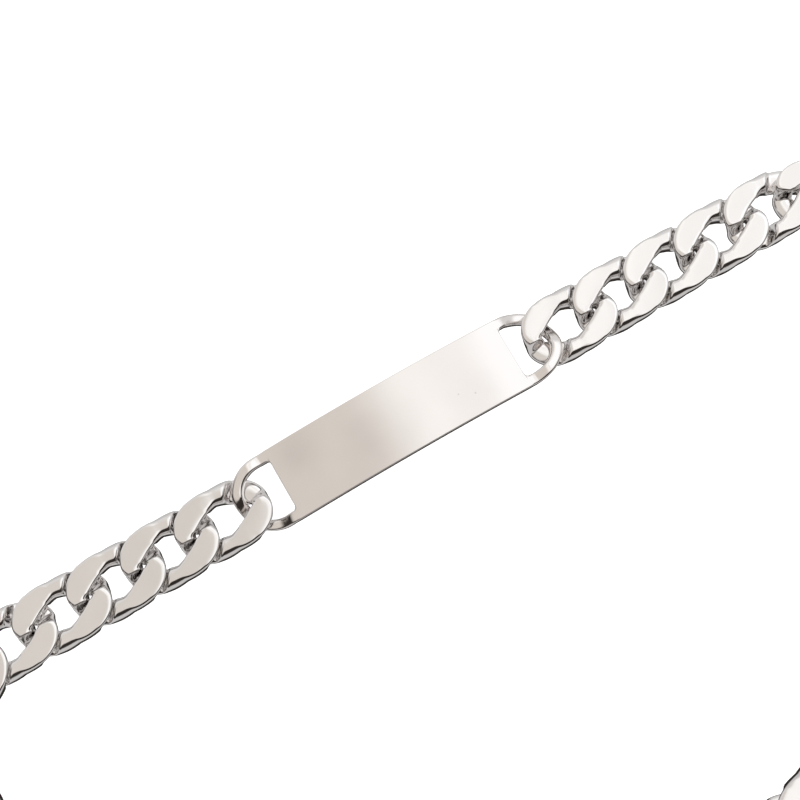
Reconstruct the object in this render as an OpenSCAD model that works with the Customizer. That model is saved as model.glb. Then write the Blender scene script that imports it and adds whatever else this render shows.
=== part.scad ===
// Identity bracelet of polished steel: an arched name plate with a pierced loop at each end,
// two runs of pressed curb links, and a plain box clasp that closes the loop at the back.
// It lies face up with the loop closed. The plate lies along X, in line with the first links of
// both sides. From there the chain turns in the plane of its own faces, and it meets the clasp on
// the -Y side.

/* [Plate] */
// Length of the solid face between the two pierced ends, along the arch
face_len = 22.1; // [18:0.1:28]
// Width of the plate across the band
plate_w = 6.55; // [6.2:0.05:8]
// Thickness of the plate
plate_t = 1; // [0.8:0.05:1.4]
// Radius that the plate is arched to, at the middle of its thickness
plate_bend_r = 62; // [50:1:120]
// How far each end loop of the plate reaches past the solid face
plate_loop_reach = 4.45; // [4.2:0.05:5.4]
// Radius in the two square corners of each pierced end
pierced_corner_r = 0.5; // [0.2:0.1:0.8]

/* [End loops] */
// Width of the bar that forms an end loop, seen from the face
loop_bar_w = 0.95; // [0.75:0.05:1.1]
// Thickness of that bar
loop_bar_t = 0.9; // [0.7:0.05:0.95]
// How far the loop is twisted out of its plane where a link crosses it
loop_lift = 0.58; // [0.5:0.02:0.66]
// Play along the band between a loop and the end of its link
loop_play = 0.3; // [0.2:0.05:0.4]

/* [Chain link] */
// Length of a link
link_len = 8.45; // [8:0.05:10]
// Width of a link
link_w = 5.8; // [5.3:0.1:6.1]
// Width of the wire at the ends and the middle of the sides
wire_w = 1.53; // [1.3:0.01:1.6]
// Width of the wire where it is pressed flat, at the four lobes
lobe_w = 1.9; // [1.6:0.05:2]
// Thickness of the pressed link over both faces
link_t = 2.15; // [2:0.05:2.5]
// Space between the lobes that lie up and the lobes that lie down
lobe_gap = 0.42; // [0.34:0.02:0.66]
// Thickness of the wire between the lobes
side_t = 1.15; // [0.85:0.05:1.3]
// Play along the band between two links
link_play = 0.34; // [0.26:0.02:0.5]
// How square the oval of a link is: 2 is an ellipse
oval_power = 2.15; // [2:0.05:2.4]

/* [Run of the band] */
// Number of links on each side of the plate
links_per_side = 19; // [18:1:21]
// Number of links on each side that lie in line with the plate
links_in_line = 5; // [4:1:6]
// How far past them the band turns most sharply, in joints
corner_at = 0.5; // [0.2:0.1:1]
// Number of joints on each side of that place that share the turn
corner_spread = 3.75; // [3.75:0.05:4.5]

/* [Clasp] */
// Length of the body of the clasp
clasp_len = 7.5; // [6.6:0.1:9]
// Width of the clasp across the band
clasp_w = 5.8; // [5.6:0.1:6.5]
// Thickness of the clasp
clasp_t = 2.6; // [2.2:0.1:3.4]
// How far each end loop of the clasp reaches past its body
clasp_loop_reach = 3.9; // [3.7:0.05:4.6]
// Radius in the corners of the clasp's outline
clasp_corner_r = 1.1; // [0.6:0.1:1.6]
// Radius along the long edges of the clasp
clasp_edge_r = 0.7; // [0.4:0.1:1]

/* [Hidden] */
$fn = 64;
// A piece that is soldered to another starts this far inside it
overlap = 0.3;
// A cutter runs past what it cuts by this much
past = 1;
// Rings round a link and round the half oval of an end loop, and the corners of the wire
link_rings = 16;
loop_rings = 13;
// Share of the wire's width that is flat on its pressed face and on the face towards its neighbour
flat_out = 0.8;
flat_in = 0.25;
// The lobes reach their full height early, so the twist is steep at the ends and the sides
lobe_rise = 1.42;
// Straight bar between the square corners of a pierced end and its oval
loop_lead = 0.25;
// Half of the band's whole turn, from the middle of the plate to the middle of the clasp
half_turn = 180;
// The even turn of the back starts this many joints past the links in line
even_turn_after = 2;
// Least and greatest even turn of the back that the closing of the loop may come to, and its halvings
back_turn_range = [-6, 25];
halvings = 40;

// Centre line of a link
link_half_len = (link_len - wire_w)/2;
link_half_w = (link_w - wire_w)/2;
// Distance of a lobe's middle from the link's middle plane, and half of the lobe's thickness
lobe_height = (link_t + lobe_gap)/4;
lobe_half_t = (link_t - lobe_gap)/4;
// Distance between the ends of two links that hold each other, and between the middles of the links
wire_apart = wire_w + link_play;
pitch = 2*link_half_len - wire_apart;
// Distance between an end loop's bar and the end of its link
bar_apart = (loop_bar_w + wire_w)/2 + loop_play;

// Middle of the bar at the far end of a loop, for the plate along its arch and for the clasp
plate_bar = face_len/2 + plate_loop_reach - loop_bar_w/2;
clasp_bar = clasp_len/2 + clasp_loop_reach - loop_bar_w/2;
// Middle of the first link, and how far the plate's arch lifts its middle above its bars
first_x = plate_bend_r*sin(arc_angle(plate_bar)) - bar_apart + link_half_len;
arch_rise = plate_bend_r*(1 - cos(arc_angle(plate_bar)));
// The links lie on their lower lobes, so this is the height of their middle plane and of the bars
mid_z = link_t/2;
// Joints that take the even turn of the back, and the corner's shares added up
link_numbers = [for (i = [1:links_per_side]) i];
back_from = links_in_line + even_turn_after;
back_joints = links_per_side - back_from + 1;
bell_sum = sum([for (joint = link_numbers) bell(joint)]);
// The even turn of the back that brings the middle of the clasp to x = 0
back_turn = solve_back(back_turn_range[0], back_turn_range[1], halvings);
clasp_y = clasp_place(back_turn).y;
// The route runs from the plate at 0 to the clasp at clasp_y, and is turned over and moved along Y
// so that the origin is under the middle of the band's box
centre_y = (clasp_y + clasp_w/2 - plate_w/2)/2;

// Route of the band

// Angle in degrees that a length along the plate's arch covers
function arc_angle(length) = length/plate_bend_r*180/PI;

// Share of the corner's turn that a joint takes
function bell(joint) =
    let (t = (joint - links_in_line - corner_at)/corner_spread)
    joint >= links_in_line && abs(t) < 1 ? pow(1 - t*t, 2) : 0;

function sum(list, i = 0) = i < len(list) ? list[i] + sum(list, i + 1) : 0;

// Turn of the band at a joint, when each joint of the back turns by back
function turn(joint, back) =
    (half_turn - back*back_joints)/bell_sum*bell(joint) + (joint >= back_from ? back : 0);

// Middle and heading of a link of the right side: [x, y, heading]
function link_place(i, back) =
    i == 1 ? [first_x, 0, 0]
    : let (
        last = link_place(i - 1, back),
        heading = last.z + turn(i - 1, back)
    )
    [
        last.x + pitch/2*(cos(last.z) + cos(heading)),
        last.y + pitch/2*(sin(last.z) + sin(heading)),
        heading
    ];

// Middle and heading of the clasp, after the last link
function clasp_place(back) =
    let (
        last = link_place(links_per_side, back),
        heading = last.z + turn(links_per_side, back),
        link_side = link_half_len - bar_apart/2,
        clasp_side = clasp_bar - bar_apart/2
    )
    [
        last.x + link_side*cos(last.z) + clasp_side*cos(heading),
        last.y + link_side*sin(last.z) + clasp_side*sin(heading),
        heading
    ];

function solve_back(low, high, steps) =
    let (middle = (low + high)/2)
    steps == 0 ? middle
    : clasp_place(middle).x > 0 ? solve_back(low, middle, steps - 1)
    : solve_back(middle, high, steps - 1);

// Wire that is swept through rings of six corners

// Six corners of the wire, for half its width and thickness; lift is 1 on a lobe that lies up,
// -1 on one that lies down and 0 between them
function wire_section(half_w, half_t, lift) =
    let (
        middle = (flat_out + flat_in)/2,
        change = (flat_out - middle)*lift,
        top = middle + change,
        bottom = middle - change
    )
    [
        [half_w, 0], [top*half_w, half_t], [-top*half_w, half_t],
        [-half_w, 0], [-bottom*half_w, -half_t], [bottom*half_w, -half_t]
    ];

// Point of an oval, and the direction square to it in its plane
function power_of(value, power) = sign(value)*pow(abs(value), power);
function oval_point(angle, half_len, half_w, power) =
    [half_len*power_of(cos(angle), 2/power), half_w*power_of(sin(angle), 2/power)];
function oval_normal(angle, half_len, half_w, power) =
    let (
        step = 1,
        d = oval_point(angle + step, half_len, half_w, power)
            - oval_point(angle - step, half_len, half_w, power)
    )
    [d.y, -d.x]/norm(d);

// How far the wire is twisted up or down at an angle round the oval, from -1 to 1
function twist_at(angle) =
    let (wave = sin(2*angle))
    -sign(wave)*min(1, abs(wave)*lobe_rise);

// Ring of points round the wire at centre, with outward the direction across it in the plane
function ring(centre, outward, height, section) =
    [for (corner = section) [
        centre.x + outward.x*corner.x,
        centre.y + outward.y*corner.x,
        height + corner.y
    ]];

function flatten(list) = [for (part = list) each part];

// Side faces between the rings; a closed sweep joins the last ring to the first
function side_faces(rings, sides, closed) =
    [for (r = [0:(closed ? rings - 1 : rings - 2)], s = [0:sides - 1])
        let (
            next_r = (r + 1)%rings,
            next_s = (s + 1)%sides,
            a = r*sides + s,
            b = r*sides + next_s,
            c = next_r*sides + next_s,
            d = next_r*sides + s
        )
        each [[a, b, c], [a, c, d]]];

module swept(rings, closed) {
    sides = len(rings[0]);
    last = (len(rings) - 1)*sides;
    caps = closed ? [] : [
        [for (s = [sides - 1:-1:0]) s],
        [for (s = [0:sides - 1]) last + s]
    ];
    polyhedron(
        points = flatten(rings),
        faces = concat(side_faces(len(rings), sides, closed), caps),
        convexity = 6
    );
}

// Pieces

// Pressed curb link in its own frame: X along the band, Y across it, Z out of its face
module curb_link() {
    rings = [for (i = [0:link_rings - 1])
        let (
            angle = 360*i/link_rings,
            twist = twist_at(angle),
            centre = oval_point(angle, link_half_len, link_half_w, oval_power),
            outward = oval_normal(angle, link_half_len, link_half_w, oval_power),
            half_w = (wire_w + (lobe_w - wire_w)*abs(sin(2*angle)))/2,
            half_t = side_t/2 + (lobe_half_t - side_t/2)*abs(twist)
        )
        ring(centre, outward, twist*lobe_height, wire_section(half_w, half_t, twist))];
    swept(rings, true);
}

// Point of a flat band put on an arch of the radius bend_r, or kept flat where that is 0
function on_arch(p, bend_r) =
    bend_r == 0 ? p
    : let (a = p.x/bend_r*180/PI)
    [(bend_r + p.z)*sin(a), p.y, (bend_r + p.z)*cos(a) - bend_r];

// Twisted loop at the right end of a body that is body_half long and body_w wide
module end_loop(body_half, lead, reach, body_w, bend_r) {
    oval_start = body_half + lead;
    half_len = body_half + reach - loop_bar_w/2 - oval_start;
    half_w = body_w/2 - loop_bar_w/2;
    oval = [for (i = [0:loop_rings - 1])
        let (
            angle = 90 - 180*i/(loop_rings - 1),
            twist = twist_at(angle),
            centre = oval_point(angle, half_len, half_w, oval_power),
            outward = oval_normal(angle, half_len, half_w, oval_power)
        )
        ring([oval_start + centre.x, centre.y], -outward, twist*loop_lift,
            wire_section(loop_bar_w/2, loop_bar_t/2, twist))];
    root = [body_half + lead - overlap, half_w];
    upper = ring(root, [0, -1], 0, wire_section(loop_bar_w/2, loop_bar_t/2, 0));
    lower = ring([root.x, -root.y], [0, 1], 0, wire_section(loop_bar_w/2, loop_bar_t/2, 0));
    flat_rings = concat([upper], oval, [lower]);
    swept([for (one = flat_rings) [for (p = one) on_arch(p, bend_r)]], false);
}

// The same loop at both ends; the left one is the right one turned half round in its plane
module both_end_loops(body_half, lead, reach, body_w, bend_r) {
    for (turned = [0, 180])
        rotate([0, 0, turned])
            end_loop(body_half, lead, reach, body_w, bend_r);
}

// Outline of the plate's solid face with the square ends of its two pierced holes
module plate_outline() {
    face_x = plate_bend_r*sin(arc_angle(face_len/2));
    stub_x = plate_bend_r*sin(arc_angle(face_len/2 + pierced_corner_r + loop_lead));
    hole_half_w = plate_w/2 - loop_bar_w;
    difference() {
        square([2*stub_x, plate_w], center = true);
        for (side = [-1, 1])
            scale([side, 1]) {
                translate([face_x + pierced_corner_r, -hole_half_w])
                    square([stub_x, 2*hole_half_w]);
                translate([face_x, -(hole_half_w - pierced_corner_r)])
                    square([stub_x, 2*(hole_half_w - pierced_corner_r)]);
                for (edge = [-1, 1])
                    translate([face_x + pierced_corner_r, edge*(hole_half_w - pierced_corner_r)])
                        circle(r = pierced_corner_r);
            }
    }
}

module plate() {
    slab_r = plate_bend_r + plate_t/2;
    color("silver")
        translate([0, centre_y, mid_z + arch_rise]) {
            intersection() {
                translate([0, 0, -plate_bend_r])
                    rotate([90, 0, 0])
                        difference() {
                            cylinder(r = slab_r, h = plate_w, center = true);
                            cylinder(r = slab_r - plate_t, h = plate_w + 2*past, center = true);
                        }
                linear_extrude(height = plate_bend_r, center = true)
                    plate_outline();
            }
            both_end_loops(face_len/2, pierced_corner_r + loop_lead, plate_loop_reach, plate_w,
                plate_bend_r);
        }
}

module rounded_rectangle(length, height, r) {
    square([length - 2*r, height], center = true);
    square([length, height - 2*r], center = true);
    for (sx = [-1, 1], sy = [-1, 1])
        translate([sx*(length/2 - r), sy*(height/2 - r)])
            circle(r = r);
}

module clasp() {
    color("silver")
        translate([0, centre_y - clasp_y, 0]) {
            translate([0, 0, clasp_t/2])
                intersection() {
                    linear_extrude(height = clasp_t + 2*past, center = true)
                        rounded_rectangle(clasp_len, clasp_w, clasp_corner_r);
                    rotate([90, 0, 90])
                        linear_extrude(height = clasp_len + 2*past, center = true)
                            rounded_rectangle(clasp_w, clasp_t, clasp_edge_r);
                }
            translate([0, 0, mid_z])
                both_end_loops(clasp_len/2, 0, clasp_loop_reach, clasp_w, 0);
        }
}

// Link i of the side that is to the right (side = 1) or the left (side = -1) of the plate
module chain_link(i, side) {
    place = link_place(i, back_turn);
    color("gainsboro")
        translate([side*place.x, centre_y - place.y, mid_z])
            rotate([0, 0, -side*place.z])
                curb_link();
}

plate();
clasp();
for (i = link_numbers) {
    chain_link(i, 1);
    chain_link(i, -1);
}
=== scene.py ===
"""Looks of the id bracelet: name plate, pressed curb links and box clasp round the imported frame."""

import logging
import math
from collections.abc import Callable
from dataclasses import dataclass
from enum import Enum

import bpy
import numpy as np
from mathutils import Matrix, Vector


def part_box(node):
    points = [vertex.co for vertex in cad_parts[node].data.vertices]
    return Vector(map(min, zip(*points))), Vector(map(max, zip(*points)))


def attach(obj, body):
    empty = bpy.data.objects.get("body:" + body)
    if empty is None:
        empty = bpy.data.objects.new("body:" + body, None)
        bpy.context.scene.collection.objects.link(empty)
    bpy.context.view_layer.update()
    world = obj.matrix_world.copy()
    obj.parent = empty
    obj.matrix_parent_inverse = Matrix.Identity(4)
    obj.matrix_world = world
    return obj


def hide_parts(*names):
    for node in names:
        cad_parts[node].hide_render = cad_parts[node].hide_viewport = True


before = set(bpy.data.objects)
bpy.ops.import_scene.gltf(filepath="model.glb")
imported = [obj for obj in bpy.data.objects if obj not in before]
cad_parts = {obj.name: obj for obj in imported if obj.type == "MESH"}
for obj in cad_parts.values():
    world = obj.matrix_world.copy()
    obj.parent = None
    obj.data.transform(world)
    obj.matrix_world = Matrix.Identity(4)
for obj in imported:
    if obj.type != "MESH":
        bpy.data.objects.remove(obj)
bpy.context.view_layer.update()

MM = 0.001
BODY = "root"
FULL_TURN = 2 * math.pi
MERGE = 0.0005 * MM

# Where a tone begins and where it is full, along one axis of the reflected direction
Fade = tuple[float, float]

log = logging.getLogger("bracelet")


class Side(Enum):
    """The two runs of chain, named by the side of the plate that they start from."""

    RIGHT = "right"
    LEFT = "left"


class Term:
    """A number inside a node tree, with the usual arithmetic, so that a formula reads as one."""

    def __init__(self, tree: bpy.types.NodeTree, socket: bpy.types.NodeSocket) -> None:
        """Wraps an output socket.

        Args:
            tree: The tree that the socket is in.
            socket: The output that gives the number.
        """
        self.tree = tree
        self.socket = socket

    @staticmethod
    def combine(tree: bpy.types.NodeTree, operation: str, *values: "Term | float") -> "Term":
        """Adds one math node.

        Args:
            tree: The tree to add it to.
            operation: The name of the math operation.
            values: Its inputs in order, each a term or a plain number.

        Returns:
            The node's result.
        """
        node = add_node(tree, "ShaderNodeMath", dict(enumerate(values)), operation=operation)
        return Term(tree, node.outputs[0])

    def op(self, operation: str, *others: "Term | float") -> "Term":
        """The result of a math operation with this term as its first input."""
        return Term.combine(self.tree, operation, self, *others)

    def __add__(self, other: "Term | float") -> "Term":
        """The sum."""
        return self.op("ADD", other)

    def __sub__(self, other: "Term | float") -> "Term":
        """The difference."""
        return self.op("SUBTRACT", other)

    def __mul__(self, other: "Term | float") -> "Term":
        """The product."""
        return self.op("MULTIPLY", other)

    def __truediv__(self, other: "Term | float") -> "Term":
        """The quotient."""
        return self.op("DIVIDE", other)

    def __neg__(self) -> "Term":
        """The term with its sign changed."""
        return self.op("MULTIPLY", -1.0)

    def less_from(self, whole: "Term | float") -> "Term":
        """What is left of whole when this term is taken away."""
        return Term.combine(self.tree, "SUBTRACT", whole, self)

    def size(self) -> "Term":
        """The term without its sign."""
        return self.op("ABSOLUTE")

    def sign(self) -> "Term":
        """The term's sign: -1, 0 or 1."""
        return self.op("SIGN")

    def signed_power(self, power: "Term | float") -> "Term":
        """The term's size raised to a power, with its sign kept."""
        return self.sign() * self.size().op("POWER", power)

    def within(self, low: float, high: float) -> "Term":
        """The term held between two numbers."""
        return self.op("MAXIMUM", low).op("MINIMUM", high)

    def ramp(self, low: float, high: float) -> "Term":
        """0 below low and 1 above high, smooth between them; high may be the lower of the two."""
        t = ((self - low) / (high - low)).within(0.0, 1.0)
        return t * t * (t * -2.0 + 3.0)

    def towards(self, other: "Term | float", share: "Term") -> "Term":
        """This term mixed with another, by the other's share from 0 to 1."""
        return self * share.less_from(1.0) + share * other


def feed(node: bpy.types.Node, inputs: dict[str | int, object]) -> None:
    """Gives a node its inputs.

    Args:
        node: The node.
        inputs: What goes into each input, by its name or number: a term, a socket or a value.
    """
    for key, value in inputs.items():
        value = value.socket if isinstance(value, Term) else value
        if isinstance(value, bpy.types.NodeSocket):
            node.id_data.links.new(value, node.inputs[key])
        else:
            node.inputs[key].default_value = value


def add_node(
    tree: bpy.types.NodeTree,
    kind: str,
    inputs: dict[str | int, object] | None = None,
    **options: str,
) -> bpy.types.Node:
    """Adds a node to a tree.

    Args:
        tree: The tree.
        kind: The node's type.
        inputs: What goes into its inputs.
        options: The node's own settings.

    Returns:
        The node.
    """
    node = tree.nodes.new(kind)
    for option, value in options.items():
        setattr(node, option, value)
    feed(node, inputs or {})
    return node


def new_object(name: str, mesh: bpy.types.Mesh) -> bpy.types.Object:
    """Links a new object for a mesh into the scene.

    Args:
        name: The object's name.
        mesh: Its mesh, already in place.

    Returns:
        The object, at the origin.
    """
    obj = bpy.data.objects.new(name, mesh)
    bpy.context.scene.collection.objects.link(obj)
    return obj


def baked(obj: bpy.types.Object) -> bpy.types.Object:
    """Turns an object's modifiers into plain geometry.

    Args:
        obj: An object with modifiers.

    Returns:
        A new object of the same name with the finished mesh.
    """
    name = obj.name
    depsgraph = bpy.context.evaluated_depsgraph_get()
    mesh = bpy.data.meshes.new_from_object(obj.evaluated_get(depsgraph), depsgraph=depsgraph)
    bpy.data.objects.remove(obj)
    mesh.name = name
    return new_object(name, mesh)


def coordinates(mesh: bpy.types.Mesh) -> np.ndarray:
    """Reads the points of a mesh.

    Args:
        mesh: The mesh.

    Returns:
        One row of x, y and z for each point.
    """
    points = np.zeros(len(mesh.vertices) * 3)
    mesh.vertices.foreach_get("co", points)
    return points.reshape(-1, 3)


def move_points(mesh: bpy.types.Mesh, *axes: np.ndarray) -> None:
    """Gives the points of a mesh new places.

    Args:
        mesh: The mesh.
        axes: Their x, y and z, each as one array.
    """
    mesh.vertices.foreach_set("co", np.stack(axes, 1).ravel())
    mesh.update()


def shade_smooth(obj: bpy.types.Object) -> bpy.types.Object:
    """Shades an object smooth, with its large flat faces kept flat.

    Args:
        obj: The object to shade.

    Returns:
        The object with its shading stored in the mesh.
    """
    obj.data.polygons.foreach_set("use_smooth", [True] * len(obj.data.polygons))
    weighted = obj.modifiers.new("Weighted normals", "WEIGHTED_NORMAL")
    weighted.keep_sharp = True
    return baked(obj)


@dataclass(frozen=True)
class DimSpot:
    """A small place where the tint is dimmer: a real speck, or a soft-edged patch of painted shade.
    """

    centre: tuple[float, float, float]
    radius: float
    dimming: float


@dataclass(frozen=True)
class SteelFinish:
    """A polished steel: its tint, roughness and polishing scratches, its specks, and any painted
    shade.
    """

    name: str
    slot: str
    tint: tuple[float, float, float]
    roughness: float
    roughness_spread: float
    scratch_depth: float
    scratch_stretch: tuple[float, float, float]
    cloud_scale: float = 260.0
    cloud_detail: float = 3.0
    cloud_tint: float = 0.1
    scratch_scale: float = 900.0
    scratch_detail: float = 4.0
    scratch_bump: float = 0.02 * MM
    least_roughness: float = 0.03
    link_spread: float = 0.0
    # Real specks, and soft patches of painted shade
    dim_spots: tuple[DimSpot, ...] = ()

    MEAN = 0.5
    EVEN = (1.0, 1.0, 1.0)

    def material(self) -> bpy.types.Material:
        """Builds the node material of the finish.

        Returns:
            The material.
        """
        material = bpy.data.materials.new(self.name)
        material.use_nodes = True
        tree = material.node_tree
        place = add_node(tree, "ShaderNodeTexCoord").outputs["Object"]
        cloud = self._noise(tree, place, self.cloud_scale, self.cloud_detail, self.EVEN)
        scratch = self._noise(
            tree, place, self.scratch_scale, self.scratch_detail, self.scratch_stretch
        )
        uneven = (cloud - self.MEAN) * self.roughness_spread
        rough = uneven + (scratch - self.MEAN) * self.roughness_spread + self.roughness
        shade = (cloud - self.MEAN) * self.cloud_tint + 1.0
        if self.link_spread:
            tone = add_node(tree, "ShaderNodeAttribute", attribute_name=CurbChain.TONE)
            own = Term(tree, tone.outputs["Fac"]) - self.MEAN
            shade = shade + own * self.link_spread
            rough = rough + own * self.link_spread
        # Each spot dims the tint: the specks are real, the soft patches are painted shade
        for spot in self.dim_spots:
            shade = shade * self._dimmed(tree, place, spot)
        parts = [(shade * part).within(0.0, 1.0) for part in self.tint]
        tint = add_node(tree, "ShaderNodeCombineColor", dict(enumerate(parts)))
        relief = {"Strength": self.scratch_depth, "Distance": self.scratch_bump, "Height": scratch}
        look = {
            "Metallic": 1.0,
            "Base Color": tint.outputs[0],
            "Roughness": rough.within(self.least_roughness, 1.0),
            "Normal": add_node(tree, "ShaderNodeBump", relief).outputs[0],
        }
        feed(tree.nodes["Principled BSDF"], look)
        return material

    @staticmethod
    def _noise(
        tree: bpy.types.NodeTree,
        place: bpy.types.NodeSocket,
        scale: float,
        detail: float,
        stretch: tuple[float, float, float],
    ) -> Term:
        """A noise over the object's own coordinates.

        Args:
            tree: The material's tree.
            place: The coordinates.
            scale: Grains to the metre.
            detail: Octaves.
            stretch: Factor along each axis; less than 1 draws the grain out.

        Returns:
            The noise, about 0.5 on average.
        """
        drawn = add_node(tree, "ShaderNodeMapping", {"Scale": stretch, "Vector": place})
        grain = {"Scale": scale, "Detail": detail, "Vector": drawn.outputs[0]}
        return Term(tree, add_node(tree, "ShaderNodeTexNoise", grain).outputs["Fac"])

    @staticmethod
    def _dimmed(tree: bpy.types.NodeTree, place: bpy.types.NodeSocket, spot: DimSpot) -> Term:
        """The factor that a spot puts on the tint: a real speck, or a patch of painted shade.

        Args:
            tree: The material's tree.
            place: The coordinates.
            spot: The spot.

        Returns:
            1 away from the spot, and less in it.
        """
        ends = {0: place, 1: spot.centre}
        distance = add_node(tree, "ShaderNodeVectorMath", ends, operation="DISTANCE")
        near = Term(tree, distance.outputs["Value"])
        return near.ramp(0.0, spot.radius) * spot.dimming + (1.0 - spot.dimming)


@dataclass(frozen=True)
class LobeFit:
    """Where a link's face dips under the next links' lobes.

    A dip is an angle round the oval: it starts between the two end angles and stops between the
    two side angles. The skews turn it across the wire. lobe_in widens the lobes into the hole.
    """

    end: tuple[float, float]
    side: tuple[float, float]
    end_skew: float = math.radians(2)
    side_skew: float = math.radians(7.5)
    lobe_in: float = 0.3 * MM


@dataclass
class CurbChain:
    """One run of pressed curb links, made by a node tree that repeats one link."""

    side: Side
    finish: SteelFinish
    wire_w: float = 1.53 * MM
    lobe_out: float = 0.2 * MM
    lobe_gap: float = 0.42 * MM
    oval_power: float = 2.15
    round_power: float = 2.6
    flat_power: float = 6.0
    under_power: float = 2.3
    flat_from: float = -0.2
    flat_to: float = 0.6
    snug: LobeFit = LobeFit(
        end=(math.radians(1), math.radians(15.5)),
        side=(math.radians(72), math.radians(64.5)),
        lobe_in=0.36 * MM,
    )
    loose: LobeFit = LobeFit(
        end=(math.radians(-4), math.radians(12)),
        side=(math.radians(79), math.radians(71)),
    )
    straight: float = math.radians(3)
    rings: int = 176
    corners: int = 26
    ring_bias: float = 0.45
    tilt_play: float = math.radians(0.5)
    seed: int = 4

    TONE = "link_tone"
    HEADING = "heading"
    BENT = "bent"
    NORMAL_STEP = math.radians(1)
    BIAS_WAVES = 4.0
    NEXT_TO_NOTHING = 1e-4
    PLACES_KEPT = 7

    def node_names(self) -> list[str]:
        """Lists the frame's nodes that this run stands for.

        Returns:
            Their names, in order from the plate.
        """
        start = f"link_{self.side.value}_"
        names = [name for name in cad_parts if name.startswith(start)]
        return sorted(names, key=lambda name: int(name[len(start):]))

    def places(self) -> list[tuple[Vector, float]]:
        """Where the links lie, read from the frame's own meshes.

        Returns:
            The middle and the heading in radians of each link.
        """
        found = []
        for name in self.node_names():
            points = coordinates(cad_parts[name].data).round(self.PLACES_KEPT)
            points = np.unique(points, axis=0)
            middle = (points.min(0) + points.max(0)) / 2
            spread = np.cov((points[:, :2] - points[:, :2].mean(0)).T)
            along = np.linalg.eigh(spread)[1][:, 1]
            found.append((Vector(middle), math.atan2(along[1], along[0])))
        return found

    def tree(self) -> bpy.types.NodeTree:
        """Builds the node tree: a wire swept round an oval, twisted and pressed, on every place.

        Returns:
            The tree, with a named input for each size.
        """
        tree = bpy.data.node_groups.new("Curb links", "GeometryNodeTree")
        face = tree.interface
        face.new_socket("Places", in_out="INPUT", socket_type="NodeSocketGeometry")
        for name in self.inputs():
            kind = "NodeSocketInt" if name == "Seed" else "NodeSocketFloat"
            face.new_socket(name, in_out="INPUT", socket_type=kind)
        face.new_socket("Material", in_out="INPUT", socket_type="NodeSocketMaterial")
        face.new_socket("Links", in_out="OUTPUT", socket_type="NodeSocketGeometry")
        source = add_node(tree, "NodeGroupInput").outputs
        size = {name: Term(tree, source[name]) for name in self.inputs() if name != "Seed"}

        turns = self._turns(tree, source)
        bent = Term(tree, self._stored(tree, self.BENT))
        both = add_node(tree, "GeometryNodeJoinGeometry")
        fits = (
            (self.snug, size["Snug Lobe In"], bent.less_from(1.0)),
            (self.loose, size["Loose Lobe In"], bent),
        )
        for fit, lobe_in, chosen in fits:
            repeat = {
                "Points": source["Places"],
                "Selection": chosen,
                "Instance": self._link_mesh(tree, size, fit, lobe_in),
                "Rotation": turns,
            }
            links = add_node(tree, "GeometryNodeInstanceOnPoints", repeat)
            feed(both, {0: links.outputs[0]})
        toned = self._toned(tree, both.outputs[0], source["Seed"])
        realized = add_node(tree, "GeometryNodeRealizeInstances", {0: toned})
        paint = {"Geometry": realized.outputs[0], "Material": source["Material"]}
        painted = add_node(tree, "GeometryNodeSetMaterial", paint)
        add_node(tree, "NodeGroupOutput", {0: painted.outputs[0]})
        return tree

    def inputs(self) -> dict[str, float]:
        """Gathers the tree's named inputs, with the outer sizes read from the frame.

        Returns:
            The value of each input.
        """
        low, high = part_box(self.node_names()[0])
        return {
            "Link Length": high.x - low.x,
            "Link Width": high.y - low.y,
            "Link Thickness": high.z - low.z,
            "Wire Width": self.wire_w,
            "Lobe Out": self.lobe_out,
            "Snug Lobe In": self.snug.lobe_in,
            "Loose Lobe In": self.loose.lobe_in,
            "Lobe Gap": self.lobe_gap,
            "Oval Power": self.oval_power,
            "Round Power": self.round_power,
            "Flat Power": self.flat_power,
            "Under Power": self.under_power,
            "Tilt Play": self.tilt_play,
            "Seed": self.seed,
        }

    def _link_mesh(
        self, tree: bpy.types.NodeTree, size: dict[str, Term], fit: LobeFit, lobe_in: Term
    ) -> bpy.types.NodeSocket:
        """Adds the nodes that bend a flat grid into one link.

        Args:
            tree: The tree to add to.
            size: The tree's sizes by name.
            fit: How closely the next links' lobes lie against this one.
            lobe_in: How far the fit's lobes reach into the hole.

        Returns:
            The link's geometry.
        """
        counts = {"Vertices X": self.rings + 1, "Vertices Y": self.corners + 1}
        grid = add_node(tree, "GeometryNodeMeshGrid", counts)
        place = add_node(tree, "GeometryNodeInputPosition").outputs[0]
        split = add_node(tree, "ShaderNodeSeparateXYZ", {0: place})
        even = (Term(tree, split.outputs[0]) + 0.5) * FULL_TURN
        bias = self.ring_bias / self.BIAS_WAVES
        angle = even - (even * self.BIAS_WAVES).op("SINE") * bias
        round_wire = (Term(tree, split.outputs[1]) + 0.5) * FULL_TURN

        half_len = (size["Link Length"] - size["Wire Width"]) / 2.0
        half_w = (size["Link Width"] - size["Wire Width"]) / 2.0
        power = Term.combine(tree, "DIVIDE", 2.0, size["Oval Power"])
        x, y = self._oval(angle, half_len, half_w, power)
        ahead = self._oval(angle + self.NORMAL_STEP, half_len, half_w, power)
        behind = self._oval(angle - self.NORMAL_STEP, half_len, half_w, power)
        dx, dy = ahead[0] - behind[0], ahead[1] - behind[1]
        length = (dx * dx + dy * dy).op("SQRT")

        wave = (angle * 2.0).op("SINE")
        out, up = self._section(round_wire, wave, size)
        face = size["Link Thickness"] / 2.0
        drop = (size["Link Thickness"] + size["Lobe Gap"]) / 2.0
        top = face - drop * self._dip(angle, out, fit)
        bottom = drop * self._dip(-angle, out, fit) - face
        height = (top + bottom) / 2.0 + (top - bottom) / 2.0 * up
        outside = out.op("GREATER_THAN", 0.0)
        lobe = outside * size["Lobe Out"] + outside.less_from(1.0) * lobe_in
        across = out * (size["Wire Width"] / 2.0 + lobe * wave.size())

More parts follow.
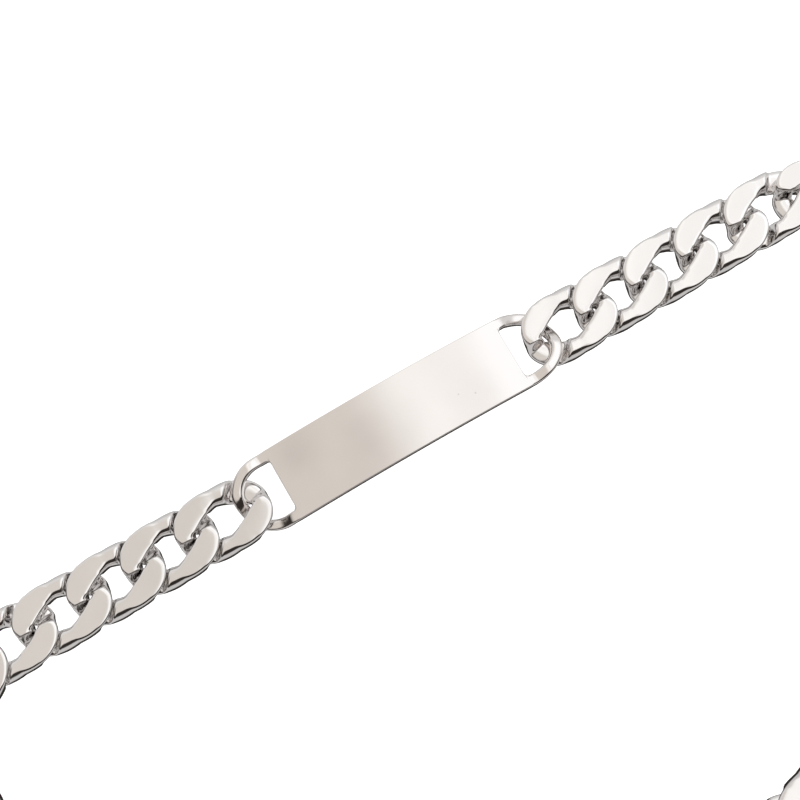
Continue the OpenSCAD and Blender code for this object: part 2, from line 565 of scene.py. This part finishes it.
        parts = {0: x + dy / length * across, 1: y - dx / length * across, 2: height}
        point = add_node(tree, "ShaderNodeCombineXYZ", parts).outputs[0]
        put = {"Geometry": grid.outputs["Mesh"], "Position": point}
        moved = add_node(tree, "GeometryNodeSetPosition", put).outputs[0]
        seams = {"Geometry": moved, "Distance": MERGE}
        closed = add_node(tree, "GeometryNodeMergeByDistance", seams).outputs[0]
        return add_node(tree, "GeometryNodeSetShadeSmooth", {"Geometry": closed}).outputs[0]

    @staticmethod
    def _oval(angle: Term, half_len: Term, half_w: Term, power: Term) -> tuple[Term, Term]:
        """A point of the link's centre line.

        Args:
            angle: The angle round the oval.
            half_len: Half of the centre line's length.
            half_w: Half of its width.
            power: 2 over the oval's power.

        Returns:
            The point's x and y.
        """
        along = angle.op("COSINE").signed_power(power) * half_len
        aside = angle.op("SINE").signed_power(power) * half_w
        return along, aside

    def _section(self, round_wire: Term, wave: Term, size: dict[str, Term]) -> tuple[Term, Term]:
        """A point of the wire's section: flat on the face that a lobe turns up, rounder elsewhere.

        Args:
            round_wire: The angle round the section.
            wave: From -1 at an upper lobe to 1 at a lower one.
            size: The tree's sizes by name.

        Returns:
            The point's place across the wire, outward, and its height over the wire's middle,
            each as a share of the wire's half.
        """
        across, up = (self._clean(round_wire.op(name)) for name in ("COSINE", "SINE"))
        own_wave = wave * up.sign()
        flat = (-own_wave).ramp(self.flat_from, self.flat_to)
        under = own_wave.ramp(self.flat_from, self.flat_to)
        power = size["Round Power"].towards(size["Flat Power"], flat)
        power = power.towards(size["Under Power"], under)
        power = Term.combine(wave.tree, "DIVIDE", 2.0, power)
        return across.signed_power(power), up.signed_power(power)

    def _clean(self, term: Term) -> Term:
        """The term with what is next to nothing made nothing, so that the seams close."""
        return term * term.size().op("GREATER_THAN", self.NEXT_TO_NOTHING)

    @staticmethod
    def _dip(angle: Term, out: Term, fit: LobeFit) -> Term:
        """How far the upper face dips, to let the next links' lobes lie over this one.

        Args:
            angle: The angle round the oval.
            out: The place across the wire, from -1 at the hole to 1 outside.
            fit: Where the dips are.

        Returns:
            0 on the face and 1 at a lower lobe.
        """
        past_end = (angle + out * fit.end_skew).op("SINE")
        past_side = (angle + out * fit.side_skew).op("COSINE")
        end, side = [math.sin(a) for a in fit.end], [math.cos(a) for a in fit.side]
        first = past_end.ramp(*end) * past_side.ramp(*side)
        return first + (-past_end).ramp(*end) * (-past_side).ramp(*side)

    def _turns(
        self, tree: bpy.types.NodeTree, source: bpy.types.bpy_prop_collection
    ) -> bpy.types.NodeSocket:
        """Each link's heading, with the small lean that its play allows.

        Args:
            tree: The tree to add to.
            source: The sockets of the tree's inputs.

        Returns:
            The rotation as Euler angles.
        """
        lean = Term(tree, self._random(tree, source["Seed"], -1.0))
        lean = lean * Term(tree, source["Tilt Play"])
        turn = {0: lean, 2: self._stored(tree, self.HEADING)}
        return add_node(tree, "ShaderNodeCombineXYZ", turn).outputs[0]

    def _toned(
        self, tree: bpy.types.NodeTree, links: bpy.types.NodeSocket, seed: bpy.types.NodeSocket
    ) -> bpy.types.NodeSocket:
        """Gives each link a number of its own, which its finish reads.

        Args:
            tree: The tree to add to.
            links: The links as instances.
            seed: The seed.

        Returns:
            The links with the number stored.
        """
        tone = {"Name": self.TONE, "Geometry": links, "Value": self._random(tree, seed, 0.0)}
        kind = "GeometryNodeStoreNamedAttribute"
        return add_node(tree, kind, tone, data_type="FLOAT", domain="INSTANCE").outputs[0]

    @staticmethod
    def _stored(tree: bpy.types.NodeTree, name: str) -> bpy.types.NodeSocket:
        """The number that each point carries under a name.

        Args:
            tree: The tree to add to.
            name: The attribute's name.

        Returns:
            The number.
        """
        kind = "GeometryNodeInputNamedAttribute"
        return add_node(tree, kind, {"Name": name}, data_type="FLOAT").outputs["Attribute"]

    @staticmethod
    def _random(
        tree: bpy.types.NodeTree, seed: bpy.types.NodeSocket, least: float
    ) -> bpy.types.NodeSocket:
        """A random number for each link.

        Args:
            tree: The tree to add to.
            seed: The seed.
            least: The least that it can be; the most is 1.

        Returns:
            The number.
        """
        limits = {"Min": least, "Seed": seed}
        draw = add_node(tree, "FunctionNodeRandomValue", limits, data_type="FLOAT")
        return next(s for s in draw.outputs if s.enabled)

    def build(self) -> bpy.types.Object:
        """Makes the run of links as one plain mesh.

        Returns:
            The finished piece.
        """
        places = self.places()
        name = f"chain_{self.side.value}"
        points = bpy.data.meshes.new(name)
        points.from_pydata([middle for middle, _ in places], [], [])
        turns = [turn for _, turn in places]
        heading = points.attributes.new(self.HEADING, "FLOAT", "POINT")
        heading.data.foreach_set("value", turns)
        bent = points.attributes.new(self.BENT, "FLOAT", "POINT")
        bent.data.foreach_set("value", self._bent(turns))
        holder = new_object(name, points)
        links = holder.modifiers.new("Curb links", "NODES")
        links.node_group = self.tree()
        values = self.inputs() | {"Material": self.finish.material()}
        for item in links.node_group.interface.items_tree:
            if item.in_out == "INPUT" and item.name in values:
                links[item.identifier] = values[item.name]
        return baked(holder)

    def _bent(self, turns: list[float]) -> list[float]:
        """Which links meet a neighbour at an angle.

        Args:
            turns: The heading of each link.

        Returns:
            1 for such a link and 0 for one in a straight stretch.
        """
        least = math.sin(self.straight)
        bends = [abs(math.sin(b - a)) > least for a, b in zip(turns, turns[1:])]
        return [float(before or after) for before, after in zip([False, *bends], [*bends, True])]

    def dress(self, chain: bpy.types.Object) -> None:
        """Ties the run to the frame.

        Args:
            chain: The finished piece.
        """
        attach(chain, BODY)
        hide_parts(*self.node_names())


@dataclass
class TwistedLoop:
    """The bar that bends round a pierced end, out of the plane of the band on either side."""

    body_half: float
    lead: float
    reach: float
    body_w: float
    bar_w: float = 0.95 * MM
    lift: float = 0.58 * MM
    oval_power: float = 2.15
    lobe_rise: float = 1.25
    steps: int = 40

    NORMAL_STEP = math.radians(0.5)

    def oval_start(self) -> float:
        """Where the oval starts along the band."""
        return self.body_half + self.lead

    def half_len(self) -> float:
        """Half of the oval's length along its centre line."""
        return self.body_half + self.reach - self.bar_w / 2 - self.oval_start()

    def half_w(self) -> float:
        """Half of the oval's width along its centre line."""
        return self.body_w / 2 - self.bar_w / 2

    def point(self, angle: float) -> np.ndarray:
        """Finds a point of the centre line.

        Args:
            angle: The angle round the oval.

        Returns:
            Its place along the band and across it.
        """
        power = 2 / self.oval_power
        along = math.copysign(abs(math.cos(angle)) ** power, math.cos(angle))
        aside = math.copysign(abs(math.sin(angle)) ** power, math.sin(angle))
        return np.array([self.oval_start() + self.half_len() * along, self.half_w() * aside])

    def sections(self) -> list[tuple[np.ndarray, np.ndarray]]:
        """The loop's inner and outer edge, from its upper root round to its lower one.

        Returns:
            One pair of points for each section.
        """
        edges = []
        for step in range(self.steps + 1):
            angle = math.pi / 2 - math.pi * step / self.steps
            middle = self.point(angle)
            ahead = self.point(min(angle + self.NORMAL_STEP, math.pi / 2))
            along = ahead - self.point(max(angle - self.NORMAL_STEP, -math.pi / 2))
            outward = np.array([along[1], -along[0]]) / np.hypot(*along)
            edges.append((middle - outward * self.bar_w / 2, middle + outward * self.bar_w / 2))
        return edges

    def lift_at(self, x: np.ndarray, y: np.ndarray) -> np.ndarray:
        """How far the bar stands out of the band's plane.

        Args:
            x: Places along the band, from the body's middle.
            y: Places across it.

        Returns:
            The height of each place.
        """
        turned = np.where(x < 0, -1.0, 1.0)
        along = np.maximum(np.abs(x) - self.oval_start(), 0.0) / self.half_len()
        aside = y * turned / self.half_w()
        power = self.oval_power / 2
        angle = np.arctan2(np.sign(aside) * np.abs(aside) ** power, along ** power)
        steep = np.clip(np.sin(2 * angle) * self.lobe_rise, -1, 1)
        return self.lift * steep * (steep * steep * 0.5 - 1.5) * (along > 0)


class FlatSheet:
    """A flat outline of quads that is given thickness and round edges."""

    EDGE_STEPS = 4

    def __init__(self) -> None:
        """Starts an empty outline."""
        self.points: list[tuple[float, float]] = []
        self.quads: list[tuple[int, ...]] = []
        self.known: dict[tuple[int, int], int] = {}

    def point(self, at: np.ndarray) -> int:
        """Finds a point of the outline, and adds it if it is new.

        Args:
            at: Its x and y.

        Returns:
            Its number.
        """
        key = (round(at[0] / MERGE), round(at[1] / MERGE))
        if key not in self.known:
            self.known[key] = len(self.points)
            self.points.append((float(at[0]), float(at[1])))
        return self.known[key]

    def strip(self, sections: list[list[np.ndarray]]) -> None:
        """Adds quads between rows of points.

        Args:
            sections: The rows, each with as many points as the next.
        """
        rows = [[self.point(at) for at in row] for row in sections]
        for row, following in zip(rows, rows[1:]):
            for a, b, c, d in zip(row, row[1:], following[1:], following):
                self.quads.append((a, b, c, d))

    def end_bars(self, sections: list[tuple[np.ndarray, np.ndarray]]) -> None:
        """Adds the bar round one pierced end, and the same turned half round at the other.

        Args:
            sections: The bar's inner and outer edge.
        """
        for turn in (1, -1):
            self.strip([[o * turn, (i + o) / 2 * turn, i * turn] for i, o in sections])

    def solid(
        self,
        name: str,
        thickness: float,
        edge_round: float,
        weight: Callable[[np.ndarray], float],
    ) -> bpy.types.Object:
        """Gives the outline its thickness and rounds its edges.

        Args:
            name: The object's name.
            thickness: The sheet's thickness.
            edge_round: The greatest radius of its edges.
            weight: A function of a point that gives the share of that radius there.

        Returns:
            The object, lying in the plane z = 0.
        """
        count = len(self.points)
        points = [(x, y, z) for z in (thickness / 2, -thickness / 2) for x, y in self.points]
        edges = dict.fromkeys(e for q in self.quads for e in zip(q, q[1:] + q[:1]))
        rim = [(a, b) for a, b in edges if (b, a) not in edges]
        faces = list(self.quads) + [tuple(i + count for i in reversed(q)) for q in self.quads]
        faces += [(b, a, a + count, b + count) for a, b in rim]
        mesh = bpy.data.meshes.new(name)
        mesh.from_pydata(points, [], faces)
        mesh.update()
        rims = {frozenset((a + side, b + side)) for a, b in rim for side in (0, count)}
        weights = mesh.attributes.new("bevel_weight_edge", "FLOAT", "EDGE")
        for edge in mesh.edges:
            if frozenset(edge.vertices) in rims:
                first, second = (np.array(points[number]) for number in edge.vertices)
                weights.data[edge.index].value = weight((first + second) / 2)
        obj = new_object(name, mesh)
        bevel = obj.modifiers.new("Round edges", "BEVEL")
        bevel.limit_method = "WEIGHT"
        bevel.width = edge_round
        bevel.segments = self.EDGE_STEPS
        bevel.use_clamp_overlap = False
        return baked(obj)


def facing_out(obj: bpy.types.Object) -> bpy.types.Object:
    """Turns an object's faces outward if they face in.

    Args:
        obj: An object with a closed mesh.

    Returns:
        The same object.
    """
    mesh = obj.data
    mesh.calc_loop_triangles()
    points = [v.co for v in mesh.vertices]
    volume = sum(
        points[t.vertices[0]].dot(points[t.vertices[1]].cross(points[t.vertices[2]]))
        for t in mesh.loop_triangles
    )
    if volume < 0:
        mesh.flip_normals()
    return obj


@dataclass
class NamePlate:
    """The arched name plate with a pierced loop at each end, all of one sheet."""

    finish: SteelFinish
    face_len: float = 22.1 * MM
    thickness: float = 1.0 * MM
    bend_r: float = 62.0 * MM
    loop_reach: float = 4.45 * MM
    loop_lead: float = 0.4 * MM
    corner_r: float = 0.35 * MM
    bar_w: float = 0.95 * MM
    bar_t: float = 0.9 * MM
    bar_round: float = 0.3 * MM
    face_round: float = 0.1 * MM
    hole_round: float = 0.06 * MM
    columns: int = 72
    rows: int = 12
    fillet_steps: int = 8

    NODE = "plate"

    def loop(self) -> TwistedLoop:
        """Sizes the loop at the plate's right end; the left one is the same, turned half round.

        Returns:
            The loop.
        """
        low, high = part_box(self.NODE)
        lead = self.corner_r + self.loop_lead
        return TwistedLoop(self.face_len / 2, lead, self.loop_reach, high.y - low.y, self.bar_w)

    def hole_half(self) -> float:
        """Half of the width of the pierced hole."""
        return self.loop().body_w / 2 - self.bar_w

    def outline(self) -> FlatSheet:
        """The plate's flat outline, with its two holes.

        Returns:
            The outline.
        """
        sheet = FlatSheet()
        loop = self.loop()
        face_end, edge = self.face_len / 2, loop.body_w / 2
        inner = self.hole_half() - self.corner_r
        lower = [-edge, -(edge + inner) / 2]
        hole = np.linspace(-inner, inner, self.rows + 1)
        levels = [*lower, *hole, *(-y for y in reversed(lower))]
        columns = np.linspace(-face_end, face_end, self.columns + 1)
        sheet.strip([[np.array([x, y]) for y in reversed(levels)] for x in columns])
        root = self._root_sections()
        mirrored = [(a * (1, -1), b * (1, -1)) for a, b in reversed(root)]
        sheet.end_bars([*root, *loop.sections()[1:-1], *mirrored])
        return sheet

    def _root_sections(self) -> list[tuple[np.ndarray, np.ndarray]]:
        """Finds the bar's root, from the plate's face past the round corner to the oval's start.

        Returns:
            The root's inner and outer edge, one pair of points for each section.
        """
        loop = self.loop()
        face_end, edge = self.face_len / 2, loop.body_w / 2
        inner = self.hole_half() - self.corner_r
        sections = []
        for step in range(self.fillet_steps + 1):
            angle = math.pi / 2 * step / self.fillet_steps
            x = face_end + self.corner_r * (1 - math.cos(angle))
            y = inner + self.corner_r * math.sin(angle)
            outer_x = face_end + self.corner_r * step / self.fillet_steps
            sections.append((np.array([x, y]), np.array([outer_x, edge])))
        start = loop.oval_start()
        sections.append((np.array([start, self.hole_half()]), np.array([start, edge])))
        return sections

    def _edge_share(self, at: np.ndarray) -> float:
        """Finds how round the rim is at a point.

        Args:
            at: The point.

        Returns:
            The share of the bar's own radius.
        """
        loop = self.loop()
        along = (abs(at[0]) - self.face_len / 2) / loop.lead
        on_rim = abs(at[1]) > loop.body_w / 2 - self.bar_w / 2
        least = (self.face_round if on_rim else self.hole_round) / self.bar_round
        return least + (1 - least) * min(max(along, 0.0), 1.0) ** 2

    def build(self) -> bpy.types.Object:
        """Makes the plate: outline, thickness, round edges, twisted loops and arch.

        Returns:
            The finished piece.
        """
        plate = self.outline().solid(
            "name_plate", self.thickness, self.bar_round, self._edge_share
        )
        x, y, z = coordinates(plate.data).T
        loop = self.loop()
        past_face = np.clip((np.abs(x) - self.face_len / 2) / loop.lead, 0, 1)
        z = z * (1 + past_face * (self.bar_t / self.thickness - 1)) + loop.lift_at(x, y)
        angle = x / self.bend_r
        low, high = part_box(self.NODE)
        top = high.z - self.thickness / 2
        move_points(
            plate.data,
            (self.bend_r + z) * np.sin(angle) + (low.x + high.x) / 2,
            y + (low.y + high.y) / 2,
            (self.bend_r + z) * np.cos(angle) - self.bend_r + top,
        )
        plate = shade_smooth(facing_out(plate))
        plate.data.materials.append(self.finish.material())
        return plate

    def dress(self, plate: bpy.types.Object) -> None:
        """Ties the plate to the frame.

        Args:
            plate: The finished piece.
        """
        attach(plate, BODY)
        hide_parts(self.NODE)


@dataclass
class BoxClasp:
    """The plain box clasp: a round-edged body with a seam round it and a loop at each end."""

    finish: SteelFinish
    body_len: float = 7.5 * MM
    loop_reach: float = 3.9 * MM
    corner_r: float = 1.1 * MM
    edge_r: float = 0.7 * MM
    end_r: float = 0.3 * MM
    root: float = 0.6 * MM
    bar_w: float = 0.95 * MM
    bar_t: float = 0.9 * MM
    bar_round: float = 0.3 * MM
    seam_at: float = 0.28
    seam_w: float = 0.14 * MM
    seam_depth: float = 0.07 * MM
    corner_steps: int = 10
    columns: int = 40

    NODE = "clasp"
    SEAM_REACH = 0.75
    EDGE_LIMIT = 0.9
    PLACES_KEPT = 9

    def build(self) -> bpy.types.Object:
        """Makes the clasp as one closed piece.

        Returns:
            The finished piece.
        """
        low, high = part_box(self.NODE)
        middle = (low + high) / 2
        body = self._body(high.y - low.y, high.z - low.z)
        body.data.transform(Matrix.Translation((middle.x, middle.y, middle.z)))
        loops = self._loops(high.y - low.y)
        link_low, link_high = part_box("link_right_1")
        level = (link_low.z + link_high.z) / 2
        loops.data.transform(Matrix.Translation((middle.x, middle.y, level)))
        union = body.modifiers.new("Solder loops", "BOOLEAN")
        union.operation = "UNION"
        union.solver = "EXACT"
        union.object = loops
        clasp = baked(body)
        bpy.data.objects.remove(loops)
        clasp = shade_smooth(clasp)
        clasp.data.materials.clear()
        clasp.data.materials.append(self.finish.material())
        return clasp

    def _body(self, width: float, height: float) -> bpy.types.Object:
        """The body, lofted along its length through rounded rectangles.

        Args:
            width: Its width across the band.
            height: Its thickness.

        Returns:
            The body, centred on the origin.
        """
        half = self.body_len / 2
        inset = np.linspace(0, math.pi / 2, self.corner_steps + 1)
        ends = [half - self.corner_r * (1 - math.sin(a)) for a in inset]
        seam = half * (1 - 2 * self.seam_at)
        seams = [seam + self.seam_w * share for share in (-1, -0.5, 0.5, 1)]
        flat = np.linspace(-half + self.corner_r, half - self.corner_r, self.columns)
        every = [*ends, *(-e for e in ends), *seams, *flat]
        places = sorted({round(x, self.PLACES_KEPT) for x in every})
        reach = self.seam_w * self.SEAM_REACH
        rings = [self._ring(x, width, height, abs(x - seam) < reach) for x in places]
        sides = len(rings[0])
        faces = []
        for start in range(0, (len(rings) - 1) * sides, sides):
            for a in range(sides):
                b = (a + 1) % sides
                faces.append((start + a, start + b, start + sides + b, start + sides + a))
        last = (len(rings) - 1) * sides
        faces += [tuple(reversed(range(sides))), tuple(range(last, last + sides))]
        mesh = bpy.data.meshes.new("clasp_body")
        mesh.from_pydata([p for ring in rings for p in ring], [], faces)
        mesh.update()
        return facing_out(new_object("box_clasp", mesh))

    def _ring(
        self, x: float, width: float, height: float, in_seam: bool
    ) -> list[tuple[float, ...]]:
        """Finds the section of the body at a place along it.

        Args:
            x: The place, from the body's middle.
            width: The body's width.
            height: Its thickness.
            in_seam: Whether the place is in the seam.

        Returns:
            The section's points in order.
        """
        half = self.body_len / 2
        past = max(abs(x) - (half - self.corner_r), 0.0) / self.corner_r
        half_w = width / 2 - self.corner_r * (1 - math.sqrt(max(1 - past * past, 0.0)))
        past = max(abs(x) - (half - self.end_r), 0.0) / self.end_r
        half_h = height / 2 - self.end_r * (1 - math.sqrt(max(1 - past * past, 0.0)))
        if in_seam:
            half_w, half_h = half_w - self.seam_depth, half_h - self.seam_depth
        radius = min(self.edge_r, half_h * self.EDGE_LIMIT)
        ring = []
        for quarter in range(4):
            centre = (
                (half_w - radius) * (1 if quarter in (0, 3) else -1),
                (half_h - radius) * (1 if quarter in (0, 1) else -1),
            )
            for step in range(self.corner_steps + 1):
                angle = math.pi / 2 * (quarter + step / self.corner_steps)
                across = centre[0] + radius * math.cos(angle)
                ring.append((x, across, centre[1] + radius * math.sin(angle)))
        return ring

    def _loops(self, width: float) -> bpy.types.Object:
        """The two end loops, with their roots inside the body.

        Args:
            width: The clasp's width across the band.

        Returns:
            The loops as one object, lying in the plane z = 0.
        """
        loop = TwistedLoop(self.body_len / 2, 0.0, self.loop_reach, width, self.bar_w)
        sheet = FlatSheet()
        back = np.array([-self.root, 0.0])
        bar = loop.sections()
        first, last = ((inner + back, outer + back) for inner, outer in (bar[0], bar[-1]))
        sheet.end_bars([first, *bar, last])
        obj = sheet.solid("clasp_loops", self.bar_t, self.bar_round, lambda at: 1.0)
        x, y, z = coordinates(obj.data).T
        move_points(obj.data, x, y, z + loop.lift_at(x, y))
        return facing_out(obj)

    def dress(self, clasp: bpy.types.Object) -> None:
        """Ties the clasp to the frame.

        Args:
            clasp: The finished piece.
        """
        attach(clasp, BODY)
        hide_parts(self.NODE)


@dataclass(frozen=True)
class Studio:
    """The pale floor and the soft light round it.

    The light is a formula of the direction that a face mirrors: x to the right, y to the back
    and z up. It is told by its tones and by the fades between them.
    """

    floor_half: float = 1.5
    floor_tint: float = 0.9
    floor_roughness: float = 0.9
    floor_glow: float = 0.95
    sky_seen: float = 0.98
    strength: float = 1.05
    left_tone: tuple[float, float, float] = (0.707, 0.667, 0.623)
    middle_tone: tuple[float, float, float] = (1.0, 0.99, 0.97)
    right_tone: tuple[float, float, float] = (1.12, 1.14, 1.16)
    dark_tone: tuple[float, float, float] = (0.03, 0.025, 0.022)
    back_tone: float = 0.7
    ground_tone: float = 0.55
    front_tone: float = 0.28
    glow_tone: float = 0.06
    middle_fade: Fade = (-0.05, 0.14)
    right_fade: Fade = (0.385, 0.42)
    right_front_fade: Fade = (-0.25, -0.2)
    right_back_fade: Fade = (0.6, 0.55)
    glow_left_fade: Fade = (0.1, 0.18)
    glow_right_fade: Fade = (0.27, 0.2)
    high_fade: Fade = (0.35, 0.75)
    high_front_fade: Fade = (-0.6, -0.52)
    back_lean: float = 0.6
    back_fade: Fade = (0.0, 0.4)
    front_fade: Fade = (-0.3, -0.6)
    front_low_fade: Fade = (0.2, -0.05)
    below_fade: Fade = (0.05, -0.15)
    ground_fade: Fade = (-0.92, -0.75)

    def build(self) -> None:
        """Makes the floor and the light."""
        self._floor()
        self._sky()

    def _floor(self) -> None:
        """Makes the plain pale floor, which the steel doesn't mirror."""
        mesh = bpy.data.meshes.new("floor")
        h = self.floor_half
        mesh.from_pydata([(-h, -h, 0), (h, -h, 0), (h, h, 0), (-h, h, 0)], [], [(0, 1, 2, 3)])
        floor = new_object("floor", mesh)
        material = bpy.data.materials.new("pale_floor")
        material.use_nodes = True
        look = {
            "Base Color": self._grey(self.floor_tint),
            "Roughness": self.floor_roughness,
            "Specular IOR Level": 0.0,
            "Emission Color": self._grey(1.0),
            "Emission Strength": self.floor_glow,
        }
        feed(material.node_tree.nodes["Principled BSDF"], look)
        mesh.materials.append(material)
        floor.visible_glossy = False

    @staticmethod
    def _grey(tone: float) -> tuple[float, ...]:
        """The grey of a tone, with its opacity."""
        return (tone, tone, tone, 1.0)

    def _sky(self) -> None:
        """Makes the soft light: bright above, softer to the left, with a dark band in front."""
        world = bpy.data.worlds.new("studio")
        bpy.context.scene.world = world
        world.use_nodes = True
        tree = world.node_tree
        mirrored = add_node(tree, "ShaderNodeTexCoord").outputs["Generated"]
        split = add_node(tree, "ShaderNodeSeparateXYZ", {0: mirrored})
        x, y, z = (Term(tree, socket) for socket in split.outputs)

        middle = x.ramp(*self.middle_fade)
        right = x.ramp(*self.right_fade)
        right = right * y.ramp(*self.right_front_fade) * y.ramp(*self.right_back_fade)
        glow = x.ramp(*self.glow_left_fade) * x.ramp(*self.glow_right_fade)
        high = z.ramp(*self.high_fade) * y.ramp(*self.high_front_fade)
        back = (x * self.back_lean + y).ramp(*self.back_fade) * self.back_tone
        front = y.ramp(*self.front_fade) * z.ramp(*self.front_low_fade) * self.front_tone
        aside = back + front
        below = z.ramp(*self.below_fade)
        ground = z.ramp(*self.ground_fade) * self.ground_tone
        channels = []
        tones = zip(self.left_tone, self.middle_tone, self.right_tone, self.dark_tone)
        for at_left, at_middle, at_right, dark in tones:
            tone = middle.less_from(1.0) * at_left + middle * at_middle
            tone = (tone + glow * self.glow_tone).towards(at_right, right)
            low = aside.towards(ground, below) + dark
            channels.append(low.towards(tone, high))
        colour = add_node(tree, "ShaderNodeCombineColor", dict(enumerate(channels)))
        seen = add_node(tree, "ShaderNodeLightPath").outputs["Is Camera Ray"]
        mix = add_node(tree, "ShaderNodeMix", {"Factor": seen}, data_type="RGBA")
        light, backdrop = (s for s in mix.inputs if s.type == "RGBA")
        tree.links.new(colour.outputs[0], light)
        backdrop.default_value = self._grey(self.sky_seen)
        mixed = next(s for s in mix.outputs if s.type == "RGBA")
        feed(tree.nodes["Background"], {"Color": mixed, "Strength": self.strength})


@dataclass(frozen=True)
class PhotoCamera:
    """The camera at the photo's angle: nearly over the plate, the band running up to the right."""

    distance: float = 140 * MM
    yaw: float = math.radians(5.2)
    tilt: float = math.radians(9.0)
    roll: float = math.radians(-30.6)
    aim_across: float = 0.83 * MM
    aim_up: float = 1.11 * MM
    pixels_per_mm: float = 12.03
    image_width: int = 800
    sensor: float = 36.0
    clip_start: float = 10 * MM

    def build(self) -> None:
        """Makes the camera and gives it to the scene."""
        low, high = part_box(NamePlate.NODE)
        across = (low.x + high.x) / 2 + self.aim_across
        aim = Vector((across, (low.y + high.y) / 2 + self.aim_up, high.z))
        level = math.cos(self.tilt)
        back = Vector(
            (-math.sin(self.yaw) * level, -math.sin(self.tilt), math.cos(self.yaw) * level)
        )
        right = Vector((0, 1, 0)).cross(back).normalized()
        up = back.cross(right)
        turned_right = right * math.cos(self.roll) + up * math.sin(self.roll)
        turned_up = up * math.cos(self.roll) - right * math.sin(self.roll)
        camera = bpy.data.cameras.new("photo_camera")
        camera.sensor_width = self.sensor
        camera.lens = self.sensor * self.pixels_per_mm * self.distance / MM / self.image_width
        camera.clip_start = self.clip_start
        obj = bpy.data.objects.new("photo_camera", camera)
        bpy.context.scene.collection.objects.link(obj)
        place = Matrix((turned_right, turned_up, back)).transposed().to_4x4()
        place.translation = aim + back * self.distance
        obj.matrix_world = place
        bpy.context.scene.camera = obj


def main() -> None:
    """Builds the studio and every piece, and logs each piece's face count."""
    logging.basicConfig(level=logging.INFO, format="%(message)s")
    bpy.context.scene.view_settings.view_transform = "Standard"
    PhotoCamera().build()
    Studio().build()
    along_the_band = (0.25, 1.0, 1.0)
    # Painted shade: two soft darker patches on the plate's face, over its left part and a band left
    # of middle, standing in for its darker reflections there
    painted_shades = (
        DimSpot((-8.8 * MM, 24.4 * MM, 2.8 * MM), radius=3.2 * MM, dimming=0.08),
        DimSpot((-2.8 * MM, 22.7 * MM, 3.3 * MM), radius=3.4 * MM, dimming=0.035),
    )
    specks = (
        DimSpot((5.3 * MM, 21.6 * MM, 3.16 * MM), radius=0.1 * MM, dimming=0.25),
        DimSpot((6.6 * MM, 21.0 * MM, 3.03 * MM), radius=0.13 * MM, dimming=0.2),
    )
    plate_steel = SteelFinish(
        name="satin_plate_steel",
        slot="plate_steel",
        tint=(0.86, 0.825, 0.805),
        roughness=0.14,
        roughness_spread=0.05,
        scratch_depth=0.12,
        scratch_stretch=along_the_band,
        dim_spots=painted_shades + specks,
    )
    link_steel = SteelFinish(
        name="polished_link_steel",
        slot="link_steel",
        tint=(0.88, 0.86, 0.85),
        roughness=0.1,
        roughness_spread=0.06,
        scratch_depth=0.1,
        scratch_stretch=SteelFinish.EVEN,
        link_spread=0.03,
    )
    clasp_steel = SteelFinish(
        name="polished_clasp_steel",
        slot="clasp_steel",
        tint=(0.87, 0.85, 0.84),
        roughness=0.12,
        roughness_spread=0.05,
        scratch_depth=0.12,
        scratch_stretch=along_the_band,
    )
    parts = [
        NamePlate(plate_steel),
        CurbChain(Side.RIGHT, link_steel),
        CurbChain(Side.LEFT, link_steel),
        BoxClasp(clasp_steel),
    ]
    for part in parts:
        piece = part.build()
        part.dress(piece)
        log.info("%s: %d faces", piece.name, len(piece.data.polygons))


if __name__ == "__main__":
    main()
